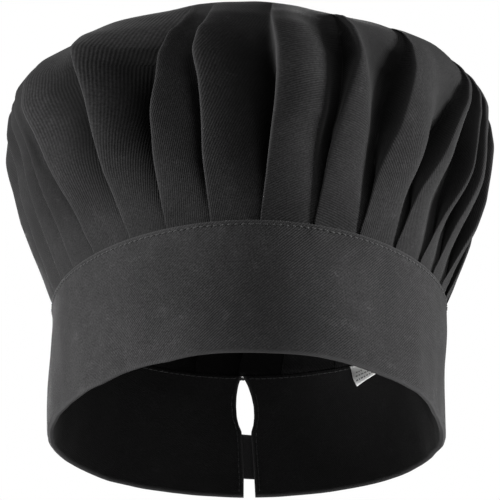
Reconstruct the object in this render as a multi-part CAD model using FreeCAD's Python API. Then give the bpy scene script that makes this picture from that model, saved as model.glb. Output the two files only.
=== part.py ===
import FreeCAD, Part
import math
import os

# Chef toque: a floppy pleated crown of one round piece of black cotton twill,
# gathered in knife pleats into a folded head band, with an open slit at the back
# that a hook-and-loop tab pulls together.
# Frame: millimetres, +Z up, rim of the band on z = 0, wearer's front towards -Y,
# origin in the middle of the rim's plane.

os.makedirs("parts", exist_ok=True)

# ---------------------------------------------------------------- band, in plan
RIM_HALF_WIDTH = 87.5
RIM_HALF_DEPTH = 104.0
RIM_EGG = 0.12          # how much wider the head is behind its middle
TOP_HALF_WIDTH = 88.0
TOP_HALF_DEPTH = 97.5
TOP_EGG = 0.07
TOP_SHIFT = -4.5        # the band's top sits a little further forward
BAND_HEIGHT = 58.0
CENTRE_X = 2.0          # brings the middle of the whole hat over the origin
CENTRE_Y = 2.4

# ------------------------------------------------- layers, measured from outside
OUTER_PLY = 0.7         # outer layer of the folded strip
INNER_PLY = 0.7         # inner layer of the same strip
BAND_THICK = 3.0        # both layers and the pocket between them
FOLD_THICK = 0.8        # the fold along the rim
POCKET_CLEAR = 0.25     # from the outer layer to the crown's edge in the pocket
TOUCH = 0.02            # room left between cloths that lie on one another
INTERFACING_THICK = 0.6
INTERFACING_TOP = 46.5
ALLOWANCE_DEPTH = 5.0    # it closes the last sliver of the slit behind the bartack
INNER_PLY_TOP = 57.4

# ------------------------------------------------------------------- back slit
SLIT_HALF_RIM = 2.5
SLIT_HALF_MID = 4.0
SLIT_HALF_TOP = 0.25
SLIT_MID_HEIGHT = 33.0
SLIT_SHOULDER_HEIGHT = 46.0
SLIT_HALF_SHOULDER = 3.2

# ------------------------------------------------------------------------ crown
PLEATS = 27
CROWN_CLOTH = 0.8
FOOT_RINGS = 4          # outlines that shape the part in the band's pocket
CROWN_TOP = 175.0
POINTS_PER_PLEAT = 6
PLEAT_LEAN = 0.5        # pushes the crest of each wave to one side, as a knife pleat
CROWN_LEAN = -2.0       # the crown flops this far to one side
CROWN_LEAN_LOW = 70.0   # height where that begins
CROWN_LEAN_HIGH = 110.0
# height, half width, half depth, egg, shift, depth of the pleats
CROWN_LEVELS = (
    (60.5, 89.4, 98.9, 0.07, -4.5, 0.6),
    (65.0, 92.8, 102.2, 0.06, -4.5, 2.2),
    (73.5, 97.3, 106.4, 0.05, -4.0, 4.0),
    (87.0, 102.7, 111.5, 0.04, -3.5, 5.2),
    (102.5, 108.0, 116.3, 0.03, -3.0, 5.4),
    (118.0, 111.7, 119.9, 0.02, -2.5, 4.8),
    (131.5, 113.0, 121.4, 0.01, -2.0, 3.9),
    (143.0, 111.4, 119.8, 0.0, -1.5, 3.0),
    (153.0, 106.2, 114.3, 0.0, -1.0, 2.2),
    (161.0, 96.8, 104.9, 0.0, -0.5, 1.5),
    (167.0, 83.5, 91.0, 0.0, 0.0, 0.9),
    (171.5, 64.7, 71.0, 0.0, 0.0, 0.4),
    (174.2, 40.2, 44.1, 0.0, 0.0, 0.1),
    (175.0, 15.1, 16.6, 0.0, 0.0, 0.0),
)

# ---------------------------------------------------------------- closure tapes
TAB_LOW = 10.0
TAB_HIGH = 31.0
TAB_THICK = 1.2
TAB_ROOT_START = -27.0  # along the band, from the middle of the slit
TAB_FOLD = -6.0
TAB_END = 56.0
TAB_ROOT_GAP = 0.4
TAB_START_FACE = 0.62   # offset of the free end's inner face where it starts
TAB_CLIMB_END = 7.5     # along the band, where it has climbed over the loop tape
TAPE_MARGIN = 1.2
LOOP_TAPE_START = 6.5
LOOP_TAPE_END = 60.0
LOOP_TAPE_THICK = 1.2
HOOK_TAPE_START = 29.0
HOOK_TAPE_END = 53.5
HOOK_TAPE_THICK = 1.0
BODY_GAP = 0.32         # room between the tab and what it closes on

# ----------------------------------------------------------------------- thread
THREAD_HIGH = 0.5
THREAD_PROUD = 0.25
TOPSTITCH_HEIGHT = 55.2
SEAM_STITCH_HEIGHT = 54.0
SEAM_CLEAR = 0.15
STITCH_INSET = 2.0

# ------------------------------------------------------- band ends and bartack
END_ROW_AT = 4.9
END_ROW_LOW = 2.0
END_ROW_HIGH = 52.5
BARTACK_LOW = 56.0
BARTACK_HIGH = 1.8
BARTACK_HALF = 4.5
BARTACK_PROUD = 0.6

# ------------------------------------------------------------------- care label
LABEL_ALONG = 67.0      # along the band, from the slit to the label's middle
LABEL_WIDE = 18.0
LABEL_DROP = 13.5       # how far its lowest corner hangs below the seam
LABEL_FOOT = -2.4       # where that corner is, from the label's middle
LABEL_LEAN = 30.0       # degrees it is sewn in askew
LABEL_THICK = 0.4
LABEL_TOP = 56.6
LABEL_CLEAR = 1.6       # room to the band's inside, so that it hangs plumb
LABEL_ROW_DOWN = 0.6
LABEL_ROW_INSET = 1.5


def egg(height):
    """Outline of the band at a height: half width, half depth, egg, shift."""
    t = height / BAND_HEIGHT
    width = RIM_HALF_WIDTH + (TOP_HALF_WIDTH - RIM_HALF_WIDTH) * t
    depth = RIM_HALF_DEPTH + (TOP_HALF_DEPTH - RIM_HALF_DEPTH) * t
    swell = RIM_EGG + (TOP_EGG - RIM_EGG) * t
    return width, depth, swell, TOP_SHIFT * t


def on_egg(shape, turn, offset):
    """Point on an outline; turn 0 is the front, pi the back, offset is outward."""
    width, depth, swell, shift = shape
    x = width * math.sin(turn) * (1.0 - swell * math.cos(turn))
    y = -depth * math.cos(turn) + shift
    dx = width * (math.cos(turn) - swell * math.cos(2.0 * turn))
    dy = depth * math.sin(turn)
    length = math.hypot(dx, dy)
    x = x + CENTRE_X + offset * dy / length
    y = y + CENTRE_Y - offset * dx / length
    return x, y


def band_point(turn, height, offset):
    x, y = on_egg(egg(height), turn, offset)
    return FreeCAD.Vector(x, y, height)


def back_turn(along, height):
    """Turn that lies a length along the outline from the middle of the back.

    Positive lengths run towards +X."""
    step = 0.25
    side = 1.0 if along >= 0.0 else -1.0
    turn = math.pi
    left = abs(along)
    shape = egg(height)
    while left > 1e-9:
        piece = min(step, left)
        width, depth, swell, shift = shape
        dx = width * (math.cos(turn) - swell * math.cos(2.0 * turn))
        dy = depth * math.sin(turn)
        turn = turn - side * piece / math.hypot(dx, dy)
        left = left - piece
    return turn


def slit_half(height):
    """Half the width of the slit at a height."""
    rows = (
        (0.0, SLIT_HALF_RIM),
        (SLIT_MID_HEIGHT, SLIT_HALF_MID),
        (SLIT_SHOULDER_HEIGHT, SLIT_HALF_SHOULDER),
        (BAND_HEIGHT, SLIT_HALF_TOP),
    )
    for low, high in zip(rows, rows[1:]):
        if height <= high[0]:
            t = (height - low[0]) / (high[0] - low[0])
            return low[1] + (high[1] - low[1]) * t
    return SLIT_HALF_TOP


def spline(points):
    curve = Part.BSplineCurve()
    curve.interpolate(points)
    return curve.toShape()


def strip_wire(height, start, end, outer, inner, count):
    """Closed outline of a thin strip standing on the band at one height.

    start and end are turns; outer and inner give the offset at a share of the
    way from start to end."""
    outside = []
    inside = []
    for i in range(count + 1):
        share = i / count
        turn = start + (end - start) * share
        outside.append(band_point(turn, height, outer(share)))
        inside.append(band_point(turn, height, inner(share)))
    inside.reverse()
    edges = [
        spline(outside),
        Part.makeLine(outside[-1], inside[0]),
        spline(inside),
        Part.makeLine(inside[-1], outside[0]),
    ]
    return Part.Wire(edges)


def round_strip(low, high, outer, inner, inset):
    """Strip that runs all the way round the band from one slit edge to the other."""
    heights = [low]
    for level in (SLIT_MID_HEIGHT, SLIT_SHOULDER_HEIGHT):
        if low < level < high:
            heights.append(level)
    heights.append(high)
    wires = []
    for height in heights:
        gap = slit_half(height) + inset
        start = back_turn(-gap, height) - 2.0 * math.pi
        end = back_turn(gap, height)
        wires.append(strip_wire(height, start, end, lambda s: outer, lambda s: inner, 72))
    return Part.makeLoft(wires, True, True)


def back_strip(low, high, start, end, outer, inner, count=24):
    """Strip on the back of the band between two lengths from the slit's middle."""
    wires = []
    for height in (low, high):
        first = back_turn(start, height)
        last = back_turn(end, height)
        wires.append(strip_wire(height, first, last, outer, inner, count))
    return Part.makeLoft(wires, True, True)


def flat_offset(value):
    return lambda share: value


def stitch_frame(low, high, start, end, face, outward=1.0):
    """Rectangle of thread lying on a face of a strip: four thin runs."""
    near = flat_offset(face + outward * TOUCH)
    far = flat_offset(face + outward * (TOUCH + THREAD_PROUD))
    inner_low = low + THREAD_HIGH + TOUCH
    inner_high = high - THREAD_HIGH - TOUCH
    runs = [
        back_strip(low, low + THREAD_HIGH, start, end, far, near),
        back_strip(high - THREAD_HIGH, high, start, end, far, near),
    ]
    for left in (start, end - THREAD_HIGH):
        runs.append(back_strip(inner_low, inner_high, left, left + THREAD_HIGH, far, near, 4))
    return Part.makeCompound(runs)


def save(shape, name):
    shape.exportStep("parts/" + name + ".step")


# ------------------------------------------------------------------------- band
# One strip of twill folded along the rim: outer layer, fold, inner layer.
outer_ply = round_strip(FOLD_THICK, BAND_HEIGHT, 0.0, -OUTER_PLY, 0.0)
inner_ply = round_strip(
    FOLD_THICK, INNER_PLY_TOP, -BAND_THICK + INNER_PLY, -BAND_THICK, 0.0
)
fold = round_strip(0.0, FOLD_THICK, 0.0, -BAND_THICK, 0.0)
band = fold.fuse(outer_ply).fuse(inner_ply)
save(band, "band")

# Stiffener between the two layers, below the crown's seam allowance.
interfacing_face = -OUTER_PLY - TOUCH
interfacing = round_strip(
    FOLD_THICK + TOUCH,
    INTERFACING_TOP,
    interfacing_face,
    interfacing_face - INTERFACING_THICK,
    SLIT_HALF_RIM,
)
save(interfacing, "band_interfacing")

# ------------------------------------------------------------------------ crown
# A cloth shell. Its straight foot is the seam allowance in the band's pocket.
def crown_ring(level, inward, pleated):
    """Closed outline of the crown at one level, moved inward."""
    height, width, depth, swell, shift, fold_depth = level
    rise = (height - CROWN_LEAN_LOW) / (CROWN_LEAN_HIGH - CROWN_LEAN_LOW)
    sideways = CROWN_LEAN * min(1.0, max(0.0, rise))
    shape = (width, depth, swell, shift)
    points = []
    count = PLEATS * POINTS_PER_PLEAT
    for i in range(count):
        turn = 2.0 * math.pi * i / count
        phase = PLEATS * turn
        wave = 1.0
        if pleated:
            wave = 0.5 - 0.5 * math.cos(phase + PLEAT_LEAN * math.sin(phase))
        x, y = on_egg(shape, turn, -OUTER_PLY - POCKET_CLEAR - inward - fold_depth * wave)
        points.append(FreeCAD.Vector(x + sideways, y, height))
    curve = Part.BSplineCurve()
    curve.interpolate(Points=points, PeriodicFlag=True)
    return Part.Wire(curve.toShape())


def crown_skin(inward, pleated):
    levels = []
    for i in range(FOOT_RINGS):
        height = BAND_HEIGHT - ALLOWANCE_DEPTH * (1.0 - i / (FOOT_RINGS - 1))
        levels.append((height,) + egg(height) + (0.0,))
    levels.extend(CROWN_LEVELS)
    rings = []
    for level in levels:
        share = max(0.0, level[0] - BAND_HEIGHT) / (CROWN_TOP - BAND_HEIGHT)
        height = level[0] - inward * share
        rings.append(crown_ring((height,) + level[1:], inward, pleated))
    return Part.makeLoft(rings, True, False)


crown = crown_skin(0.0, True).cut(crown_skin(CROWN_CLOTH, False)).Solids[0]
save(crown, "crown")

# Hidden row of thread that holds the pleats against the inner layer.
seam_face = -OUTER_PLY - POCKET_CLEAR - CROWN_CLOTH - SEAM_CLEAR
seam_back = -BAND_THICK + INNER_PLY + TOUCH
seam_thread = round_strip(
    SEAM_STITCH_HEIGHT, SEAM_STITCH_HEIGHT + THREAD_HIGH, seam_face, seam_back, 2.0 * STITCH_INSET
)
save(seam_thread, "crown_seam_stitching")

# Row along the band's top edge: one thread on the outside, one on the inside.
outside_thread = round_strip(
    TOPSTITCH_HEIGHT,
    TOPSTITCH_HEIGHT + THREAD_HIGH,
    TOUCH + THREAD_PROUD,
    TOUCH,
    STITCH_INSET,
)
inside_thread = round_strip(
    TOPSTITCH_HEIGHT,
    TOPSTITCH_HEIGHT + THREAD_HIGH,
    -BAND_THICK - TOUCH,
    -BAND_THICK - TOUCH - THREAD_PROUD,
    STITCH_INSET,
)
save(Part.makeCompound([outside_thread, inside_thread]), "band_topstitching")


# -------------------------------------------------------------------- band ends
def end_row(start):
    """Upright row beside the slit, outside and inside."""
    outside = back_strip(
        END_ROW_LOW,
        END_ROW_HIGH,
        start,
        start + THREAD_HIGH,
        flat_offset(TOUCH + THREAD_PROUD),
        flat_offset(TOUCH),
        4,
    )
    inside = back_strip(
        END_ROW_LOW,
        END_ROW_HIGH,
        start,
        start + THREAD_HIGH,
        flat_offset(-BAND_THICK - TOUCH),
        flat_offset(-BAND_THICK - TOUCH - THREAD_PROUD),
        4,
    )
    return Part.makeCompound([outside, inside])


save(end_row(END_ROW_AT), "band_end_stitching_loop_side")
save(end_row(-END_ROW_AT - THREAD_HIGH), "band_end_stitching_tab_side")

# Dense bar of thread across the very top of the slit.
bartack = back_strip(
    BARTACK_LOW,
    BARTACK_LOW + BARTACK_HIGH,
    -BARTACK_HALF,
    BARTACK_HALF,
    flat_offset(TOUCH + BARTACK_PROUD),
    flat_offset(TOUCH),
    8,
)
save(bartack, "slit_bartack")

# ------------------------------------------------------------------ closure tab
# The tab's sewn-down end, on the outside of one end of the band.
root_patch = back_strip(
    TAB_LOW,
    TAB_HIGH,
    TAB_ROOT_START,
    TAB_FOLD - TAB_ROOT_GAP,
    flat_offset(TOUCH + TAB_THICK),
    flat_offset(TOUCH),
)
save(root_patch, "closure_tab_sewn_end")
root_frame = stitch_frame(
    TAB_LOW + TAPE_MARGIN,
    TAB_HIGH - TAPE_MARGIN,
    TAB_ROOT_START + TAPE_MARGIN,
    TAB_FOLD - TAB_ROOT_GAP - TAPE_MARGIN,
    TOUCH + TAB_THICK,
)
save(root_frame, "closure_tab_sewn_end_stitching")

# The free end crosses the slit and lies over the loop tape.
loop_face = TOUCH + LOOP_TAPE_THICK
hook_face = loop_face + BODY_GAP
tab_face = hook_face + HOOK_TAPE_THICK + TOUCH


def tab_inner(share):
    """Offset of the free end's inner face: it climbs over the loop tape."""
    along = TAB_FOLD + (TAB_END - TAB_FOLD) * share
    rise = min(1.0, max(0.0, (along - TAB_FOLD) / (TAB_CLIMB_END - TAB_FOLD)))
    rise = rise * rise * (3.0 - 2.0 * rise)
    return TAB_START_FACE + (tab_face - TAB_START_FACE) * rise


def tab_outer(share):
    return tab_inner(share) + TAB_THICK


tab = back_strip(TAB_LOW, TAB_HIGH, TAB_FOLD, TAB_END, tab_outer, tab_inner, 40)
save(tab, "closure_tab")
tab_frame = stitch_frame(
    TAB_LOW + TAPE_MARGIN,
    TAB_HIGH - TAPE_MARGIN,
    TAB_CLIMB_END,
    TAB_END - TAPE_MARGIN,
    tab_face + TAB_THICK,
)
save(tab_frame, "closure_tab_edge_stitching")

# -------------------------------------------------------------- hook and loop
loop_tape = back_strip(
    TAB_LOW,
    TAB_HIGH,
    LOOP_TAPE_START,
    LOOP_TAPE_END,
    flat_offset(loop_face),
    flat_offset(TOUCH),
)
hook_tape = back_strip(
    TAB_LOW + TAPE_MARGIN,
    TAB_HIGH - TAPE_MARGIN,
    HOOK_TAPE_START,
    HOOK_TAPE_END,
    flat_offset(hook_face + HOOK_TAPE_THICK),
    flat_offset(hook_face),
)
save(loop_tape, "loop_tape")
save(hook_tape, "hook_tape")

# The tapes are held by thread pressed into their faces: here it lies along
# their edges, on the cloth that carries them.
loop_frame = stitch_frame(
    TAB_LOW - THREAD_HIGH - TOUCH,
    TAB_HIGH + THREAD_HIGH + TOUCH,
    LOOP_TAPE_START - THREAD_HIGH - TOUCH,
    LOOP_TAPE_END + THREAD_HIGH + TOUCH,
    0.0,
)
save(loop_frame, "loop_tape_stitching")
hook_frame = stitch_frame(
    TAB_LOW + TAPE_MARGIN - THREAD_HIGH - TOUCH,
    TAB_HIGH - TAPE_MARGIN + THREAD_HIGH + TOUCH,
    HOOK_TAPE_START - THREAD_HIGH - TOUCH,
    HOOK_TAPE_END + THREAD_HIGH + TOUCH,
    tab_face - 2.0 * TOUCH,
    -1.0,
)
save(hook_frame, "hook_tape_stitching")

# ------------------------------------------------------------------- care label
# A flat rectangle that hangs askew from the inside of the band's top edge.
label_turn = back_turn(LABEL_ALONG, LABEL_TOP)
label_middle = band_point(label_turn, LABEL_TOP, -BAND_THICK - LABEL_CLEAR)
label_outer = band_point(label_turn, LABEL_TOP, 0.0)
label_out = label_outer.sub(label_middle)
label_out.normalize()
label_across = FreeCAD.Vector(-label_out.y, label_out.x, 0.0)
label_across = label_across.multiply(-1.0)
lean = math.radians(LABEL_LEAN)


def label_point(across, down):
    point = label_middle.add(FreeCAD.Vector(label_across).multiply(across))
    point.z = LABEL_TOP - down
    return point


foot_x = LABEL_FOOT
left_x = foot_x - LABEL_DROP * math.tan(lean)
right_x = foot_x + LABEL_WIDE * math.cos(lean)
right_down = LABEL_DROP - LABEL_WIDE * math.sin(lean)
top_right_x = right_x - right_down * math.tan(lean)
label_corners = [
    label_point(left_x, 0.0),
    label_point(foot_x, LABEL_DROP),
    label_point(right_x, right_down),
    label_point(top_right_x, 0.0),
]
label_corners.append(label_corners[0])
label_face = Part.Face(Part.makePolygon(label_corners))
label_depth = FreeCAD.Vector(label_out).multiply(-LABEL_THICK)
label = label_face.extrude(label_depth)
save(label, "care_label")

# The row that holds the label, on its inner face just under its sewn edge.
row_corners = [
    label_point(left_x + LABEL_ROW_INSET, LABEL_ROW_DOWN),
    label_point(left_x + LABEL_ROW_INSET, LABEL_ROW_DOWN + THREAD_HIGH),
    label_point(top_right_x - LABEL_ROW_INSET, LABEL_ROW_DOWN + THREAD_HIGH),
    label_point(top_right_x - LABEL_ROW_INSET, LABEL_ROW_DOWN),
]
row_corners.append(row_corners[0])
row_face = Part.Face(Part.makePolygon(row_corners))
row_face.translate(FreeCAD.Vector(label_out).multiply(-LABEL_THICK - TOUCH))
row = row_face.extrude(FreeCAD.Vector(label_out).multiply(-THREAD_PROUD))
save(row, "care_label_stitching")
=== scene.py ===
import bpy
import math
import numpy as np
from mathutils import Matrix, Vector


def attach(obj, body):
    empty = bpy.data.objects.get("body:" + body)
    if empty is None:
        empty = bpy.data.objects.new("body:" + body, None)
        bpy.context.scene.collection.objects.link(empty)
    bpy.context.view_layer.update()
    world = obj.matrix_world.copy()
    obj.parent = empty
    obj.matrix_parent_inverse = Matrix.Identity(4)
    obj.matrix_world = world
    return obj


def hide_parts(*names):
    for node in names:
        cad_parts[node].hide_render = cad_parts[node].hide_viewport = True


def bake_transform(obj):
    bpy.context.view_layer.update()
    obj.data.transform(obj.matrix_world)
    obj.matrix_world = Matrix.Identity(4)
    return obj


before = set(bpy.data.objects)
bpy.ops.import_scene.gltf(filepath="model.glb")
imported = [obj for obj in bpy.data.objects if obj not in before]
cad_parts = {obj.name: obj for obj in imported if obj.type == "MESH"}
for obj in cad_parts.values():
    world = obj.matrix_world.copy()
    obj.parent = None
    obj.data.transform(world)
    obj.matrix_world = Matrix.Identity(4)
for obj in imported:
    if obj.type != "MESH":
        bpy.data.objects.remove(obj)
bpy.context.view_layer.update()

# Chef toque. Lengths are in millimetres, as in the CAD model, until a mesh is
# made. Turns go round the hat: 0 is the wearer's front, pi the back. A length
# "along" the band starts at the middle of the slit and grows towards +X.
MM = 0.001

# ------------------------------------------------------------- band, in plan
RIM = (87.5, 104.0, 0.12, 0.0)      # half width, half depth, egg, shift
TOP = (88.0, 97.5, 0.07, -4.5)
BAND_HEIGHT = 58.0
CENTRE_X = 2.0
CENTRE_Y = 2.4
BAND_THICK = 3.0
OUTER_PLY = 0.7
POCKET_DEPTH = 8.0      # how far the strip's edges are turned in
END_ROUND = 1.6         # the band's ends round off over this length
BAND_COLUMNS = 520
# Slit: height, half its width, how far its middle leans towards +X
SLIT_ROWS = (
    (0.0, 2.8, 3.5),
    (10.0, 2.5, 3.2),
    (29.0, 2.2, 1.9),
    (31.5, 2.4, 1.8),
    (34.0, 3.5, 1.6),
    (38.0, 4.2, 1.3),
    (43.0, 4.25, 1.0),
    (48.0, 3.6, 0.5),
    (53.0, 2.3, 0.0),
    (56.0, 1.0, -0.3),
    (58.0, 0.3, -0.4),
)

# --------------------------------------------------------------- crown's form
SAMPLES = 26            # points round each pleat
ROWS = 112
CROWN_SHEET = 0.9       # the cloth's middle, in from the band's outside
# height, half width, half depth, egg, shift back, shift sideways
PROFILE = (
    (50.0, 88.0, 98.4, 0.077, -3.9, 0.0),
    (54.0, 88.0, 97.9, 0.073, -4.2, 0.0),
    (58.0, 88.0, 97.5, 0.07, -4.5, 0.0),
    (60.5, 88.9, 98.9, 0.07, -4.5, 0.1),
    (65.0, 91.3, 102.2, 0.06, -4.5, 0.3),
    (73.5, 94.8, 106.4, 0.05, -4.0, 0.7),
    (87.0, 100.6, 111.5, 0.04, -3.5, 1.1),
    (102.5, 105.8, 116.3, 0.03, -3.0, 1.4),
    (118.0, 108.6, 119.9, 0.02, -2.5, 1.3),
    (132.0, 111.9, 121.4, 0.01, -2.0, 0.0),
    (143.9, 111.0, 119.8, 0.0, -1.5, -0.5),
    (154.3, 105.0, 114.3, 0.0, -1.0, 0.3),
    (162.6, 97.6, 104.9, 0.0, -0.5, 1.6),
    (168.8, 84.6, 91.0, 0.0, 0.0, 0.3),
    (173.5, 65.6, 71.0, 0.0, 0.0, -1.4),
    (176.3, 41.5, 44.1, 0.0, 0.0, -0.6),
    (177.1, 16.0, 16.6, 0.0, 0.0, -0.1),
    (177.3, 0.8, 0.9, 0.0, 0.0, 0.0),
)
SEAM_ROW = 2            # the profile's row where the crown leaves the band
# Where the dome stands out, or sinks in if the last value is below 0: turn in
# degrees, length, reach both ways, how far
BULGES = (
    (-50.0, 110.0, 28.0, 26.0, -4.8),
    (-15.0, 112.0, 28.0, 26.0, 1.8),
    (18.0, 112.0, 28.0, 26.0, -9.5),
    (52.0, 105.0, 28.0, 26.0, 3.9),
)

# The pleats' outer folds on the front half, from the wearer's right round to
# the left. Each has, at FOLD_LEVELS above the seam: the fold's turn in degrees;
# the share of the way to the next fold where the panel rolls over and dives;
# and how deep it dives. The last number is how straight the panel slopes down
# to there: 0 is a round roll, 1 a flat slope.
FOLD_LEVELS = (0.0, 28.0, 52.0, 76.0, 98.0)
FRONT_FOLDS = (
    ((-86, -85, -84, -83, -82), (0.95, 0.85, 0.7, 0.55, 0.5), (1, 10, 13, 10, 2), 0.9),
    ((-76, -74, -73, -76, -78), (0.95, 0.8, 0.6, 0.5, 0.5), (1, 10, 10, 4, 1), 0.85),
    ((-66.5, -65.5, -66, -70.5, -71), (0.95, 0.7, 0.4, 0.4, 0.5), (1, 6, 4, 3, 1), 0.8),
    ((-54.6, -58, -61.5, -66, -64), (0.95, 0.85, 0.7, 0.5, 0.45), (1, 13, 19, 16, 8), 0.95),
    ((-40, -43, -43.3, -43.7, -47), (0.95, 0.9, 0.7, 0.45, 0.4), (1, 13, 20, 17, 9), 1.0),
    ((-27.5, -28.4, -28, -24, -18), (0.95, 0.9, 0.8, 0.5, 0.4), (1, 10, 9, 6, 3), 0.85),
    ((-14, -15.4, -15.5, -16, -12), (0.95, 0.85, 0.65, 0.5, 0.4), (1, 12, 14, 13, 5), 1.0),
    ((0.5, 1.8, 3, 3.8, 3), (0.91, 0.87, 0.83, 0.65, 0.5), (1, 9, 13, 14, 4), 0.35),
    ((16.5, 17.3, 19.7, 22.4, 19.4), (0.93, 0.86, 0.6, 0.2, 0.15), (1, 11, 18, 16, 3), 0.3),
    ((31.5, 32, 34.6, 37.8, 38), (0.93, 0.94, 0.76, 0.5, 0.4), (1, 11, 16, 9, 2), 0.35),
    ((45.5, 46, 51.3, 58.3, 62), (0.88, 0.62, 0.48, 0.4, 0.4), (1, 9, 12, 9, 2), 0.4),
    ((58, 59, 62, 65, 69), (0.8, 0.5, 0.4, 0.35, 0.4), (1, 8, 10, 8, 2), 0.5),
    ((67, 66, 68, 71, 74), (0.8, 0.5, 0.4, 0.4, 0.4), (1, 8, 10, 8, 2), 0.5),
    ((76, 78, 81, 83, 84), (0.9, 0.7, 0.5, 0.4, 0.4), (1, 9, 11, 9, 3), 0.5),
    ((86, 88, 91, 93, 94), (0.95, 0.8, 0.6, 0.45, 0.4), (1, 9, 11, 9, 3), 0.5),
)
BACK_FOLDS = 12
BACK_SHARES = (0.94, 0.85, 0.65, 0.45, 0.4)
BACK_DEPTHS = (1.0, 8.0, 11.0, 9.0, 3.0)
PLEATS = len(FRONT_FOLDS) + BACK_FOLDS
# How far each front panel's weave is turned, in degrees, and where along a pleat
# one panel's weave gives way to the next's, deep inside the fold.
FRONT_GRAIN = (-10, -10, -10, -15, -22, -25, -35, -8, 18, 38, 24, 12, 6, 0, 0)
GRAIN_CHANGE = 0.72

# ------------------------------------------------------- closure tab and tapes
TAB_LOW = 10.0
TAB_HIGH = 31.0
TAB_THICK = 1.2
TAB_START = -27.0
TAB_END = 56.0
TAB_FOLD = -6.0
TAB_START_FACE = 0.62
TAB_CLIMB_END = 7.5
BEND_START = -7.3       # ends of the span where the real tab peels off; nothing here bends it: the sewn row stops short of the first, and the points found at both below are unused
BEND_END = 5.0
TAPE_MARGIN = 1.2
LOOP_TAPE = (6.5, 60.0)
HOOK_TAPE = (29.0, 53.5)
LOOP_TAPE_THICK = 1.2
LOOP_TAPE_BASE = 0.5
HOOK_TAPE_THICK = 1.0
HOOK_TAPE_BASE = 0.3
BODY_GAP = 0.32
TOUCH = 0.02

# How much painted shade darkens the band's inner layer towards black, against its outer one with pale worn
# edges.
INSIDE_PAINTED_SHADE = 0.75

# ----------------------------------------------------------------------- thread
THREAD = 0.25           # radius
TOPSTITCH_HEIGHT = 55.9
SEAM_STITCH_HEIGHT = 54.2
STITCH = 2.9            # from one needle hole to the next
PROUD = 0.03            # how far thread and print stand off the cloth's face
SLIT_ROW_IN = 2.3       # the upright rows' distance from the slit's edges
TAB_ROW_IN = 1.5        # the rows' distance from the edges of the tab
LOOP_ROW_IN = 0.8
HOOK_ROW_IN = 0.6

# ------------------------------------------------------------------- care label
LABEL_ALONG = 67.0
LABEL_WIDE = 18.0
LABEL_DROP = 13.5
LABEL_FOOT = -2.4
LABEL_LEAN = math.radians(30.0)
LABEL_TWIST = math.radians(20.0)
LABEL_THICK = 0.4
LABEL_TOP = 56.6
LABEL_CLEAR = 1.6

rng = np.random.default_rng(20)


# ---------------------------------------------------------------------- helpers
def smooth(x, low, high):
    t = np.clip((x - low) / (high - low), 0.0, 1.0)
    return t * t * (3.0 - 2.0 * t)


def blurred(values, width):
    """A row of values, softened over an odd number of them."""
    kernel = np.hanning(width)
    kernel /= kernel.sum()
    half = width // 2
    padded = np.concatenate([np.repeat(values[:1], half), values, np.repeat(values[-1:], half)])
    return np.convolve(padded, kernel, "valid")


def rounded(inset, radius):
    """How full a round end is, from 0 at its tip to 1, at each distance in."""
    t = np.clip(inset / radius, 0.0, 1.0)
    return np.sqrt(np.clip(1.0 - (1.0 - t) ** 2, 0.0, 1.0))


def girth(section, thick=1.0):
    """Length run along a section up to each of its points, as a column."""
    step = np.hypot(np.diff(section[:, 0]), np.diff(section[:, 1]) * thick)
    return np.concatenate([[0.0], np.cumsum(step)])[:, None]


def flat_map(along, across):
    """UV map in metres of a grid of points."""
    return np.stack(np.broadcast_arrays(along, across), -1).reshape(-1, 2) * MM


class Waves:
    """Smooth random field in space: a sum of plane waves of about one length."""

    def __init__(self, length, seed, count=28, stretch=(1.0, 1.0, 1.0)):
        r = np.random.default_rng(seed)
        k = r.normal(size=(count, 3))
        k /= np.linalg.norm(k, axis=1)[:, None]
        k *= (2.0 * math.pi / length) * r.uniform(0.6, 1.5, count)[:, None]
        self.k = k / np.array(stretch)
        self.phase = r.uniform(0.0, 2.0 * math.pi, count)
        self.gain = math.sqrt(2.0 / count)

    def __call__(self, p):
        out = np.zeros(p.shape[:-1])
        for k, phase in zip(self.k, self.phase):
            out += np.sin(p @ k + phase)
        return out * self.gain


def link_to_scene(obj):
    bpy.context.scene.collection.objects.link(obj)


def make_mesh(name, points, faces, uv, wear_and_painted_light=None):
    """Mesh object from points in millimetres; uv and the wear and painted light values (worn edges, painted
    highlight, painted shade) are one value a point.
    """
    mesh = bpy.data.meshes.new(name)
    mesh.from_pydata((np.asarray(points, float) * MM).tolist(), [], faces)
    layer = mesh.uv_layers.new(name="cloth")
    loops = np.empty(len(mesh.loops), np.int32)
    mesh.loops.foreach_get("vertex_index", loops)
    layer.data.foreach_set("uv", np.asarray(uv, np.float32)[loops].ravel())
    # One value a point: worn edges above 0 and painted highlight, painted shade below 0.
    painted_light_and_wear = mesh.attributes.new("wear_and_painted_light", "FLOAT", "POINT")
    values = np.zeros(len(points)) if wear_and_painted_light is None else np.asarray(wear_and_painted_light)
    painted_light_and_wear.data.foreach_set("value", values.astype(np.float32).ravel())
    mesh.polygons.foreach_set("use_smooth", [True] * len(mesh.polygons))
    mesh.update()
    obj = bpy.data.objects.new(name, mesh)
    link_to_scene(obj)
    return obj


def grid_faces(rows, cols, wrap_rows=False, wrap_cols=False):
    """Quads of a grid whose points run along its columns first."""
    faces = []
    for r in range(rows if wrap_rows else rows - 1):
        q = (r + 1) % rows
        for c in range(cols if wrap_cols else cols - 1):
            d = (c + 1) % cols
            faces.append((r * cols + c, r * cols + d, q * cols + d, q * cols + c))
    return faces


def unit(v):
    return v / np.maximum(np.linalg.norm(v, axis=-1, keepdims=True), 1e-9)


# -------------------------------------------------------------- band's geometry
def egg_at(height):
    t = np.asarray(height, float) / BAND_HEIGHT
    return [r + (s - r) * t for r, s in zip(RIM, TOP)]


def egg_point(shape, turn):
    width, depth, swell, shift = shape
    x = width * np.sin(turn) * (1.0 - swell * np.cos(turn)) + CENTRE_X
    y = -depth * np.cos(turn) + shift + CENTRE_Y
    return x, y


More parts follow.
